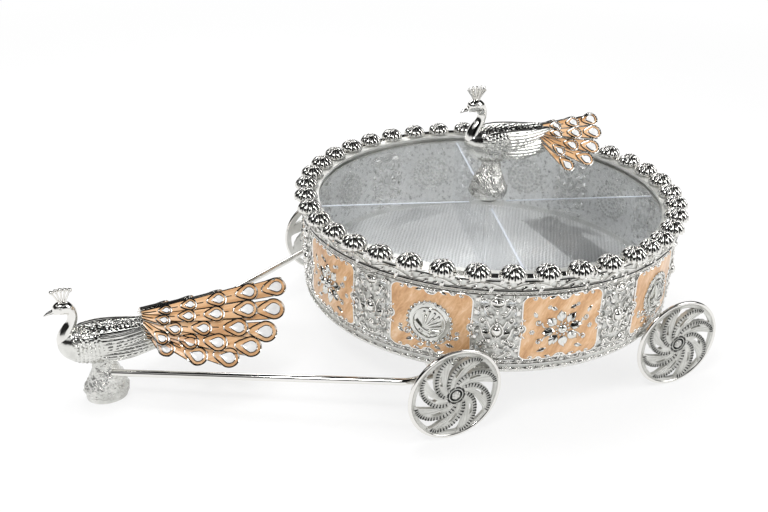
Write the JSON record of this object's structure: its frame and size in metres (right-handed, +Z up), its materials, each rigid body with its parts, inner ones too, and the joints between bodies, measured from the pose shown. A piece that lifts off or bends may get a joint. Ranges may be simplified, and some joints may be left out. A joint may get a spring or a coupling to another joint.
{
  "type": "dry fruit box",
  "caption": "Round silver-plated dry fruit box with enamel panels and a glass lid with a peacock knob, on pinwheel wheels with a peacock draw bar and a lift-out divided tray.",
  "frame": {"origin": "on the ground under the middle of the overall length and width", "axes": "+X from the front peacock towards the rear wheels, along the overall length; +Z up, the shortest extent; +Y towards the far side"},
  "size_m": [0.4298, 0.2663, 0.1772],
  "materials": {
    "silver_plate": "bright silver plate",
    "silver_satin": "satin silver plate",
    "enamel_peach": "pearly enamel",
    "enamel_white": "gloss enamel",
    "glass": "clear",
    "acrylic": "clear acrylic",
    "steel": "plain"
  },
  "bodies": {
    "box": {"wall_band": "silver_satin", "enamel_panels": "enamel_peach", "shell_medallions": "silver_plate", "leaf_reliefs": "silver_plate", "base_rim": "silver_plate", "floor_pan": "silver_satin", "top_rim": "silver_plate", "front_axle_saddles": "silver_satin", "rear_axle_saddles": "silver_satin", "saddle_rivets": "silver_plate"},
    "front_wheelset": {"front_axle": "silver_plate", "front_axle_collars": "silver_plate", "front_wheel_near": "silver_plate", "front_wheel_far": "silver_plate"},
    "rear_wheelset": {"rear_axle": "silver_plate", "rear_axle_collars": "silver_plate", "rear_wheel_near": "silver_plate", "rear_wheel_far": "silver_plate"},
    "draw_bar": {"draw_rod_near": "silver_plate", "draw_rod_far": "silver_plate", "pedestal_rock": "silver_plate", "peacock_body": "silver_plate", "peacock_crest": "silver_plate", "peacock_tail_plate": "silver_plate", "peacock_tail_enamel": "enamel_peach", "peacock_tail_eye_spots": "enamel_white"},
    "lid": {"lid_ring": "silver_plate", "rosette_strip": "silver_plate", "rosettes": "silver_plate", "glass_disc": "glass", "glass_retainer": "silver_satin", "knob_washer": "steel", "knob_screw": "steel", "knob_rock": "silver_plate", "knob_peacock": "silver_plate", "knob_crest": "silver_plate", "knob_tail_plate": "silver_plate", "knob_tail_enamel": "enamel_peach", "knob_tail_eye_spots": "enamel_white"},
    "tray": {"compartment_tray": "acrylic", "long_divider": "acrylic", "cross_divider": "acrylic"}
  },
  "joints": [
    {"name": "front_axle_spin", "type": "hinge", "parent": "box", "child": "front_wheelset", "pos_m": [0.00175, 0, 0.0304], "axis": [0, 1, 0], "continuous": true},
    {"name": "rear_axle_spin", "type": "hinge", "parent": "box", "child": "rear_wheelset", "pos_m": [0.16175, 0, 0.0304], "axis": [0, 1, 0], "continuous": true},
    {"name": "draw_bar_lift", "type": "hinge", "parent": "box", "child": "draw_bar", "pos_m": [0.00175, 0, 0.0304], "axis": [0, 1, 0], "range_deg": [0, 20]},
    {"name": "lid_lift", "type": "slide", "parent": "box", "child": "lid", "axis": [0, 0, 1], "range_m": [0, 0.16]},
    {"name": "tray_lift", "type": "slide", "parent": "box", "child": "tray", "axis": [0, 0, 1], "range_m": [0, 0.072]}
  ],
  "couplings": [
    {"joint": "tray_lift", "follows": "lid_lift", "ratio": 0.45}
  ]
}
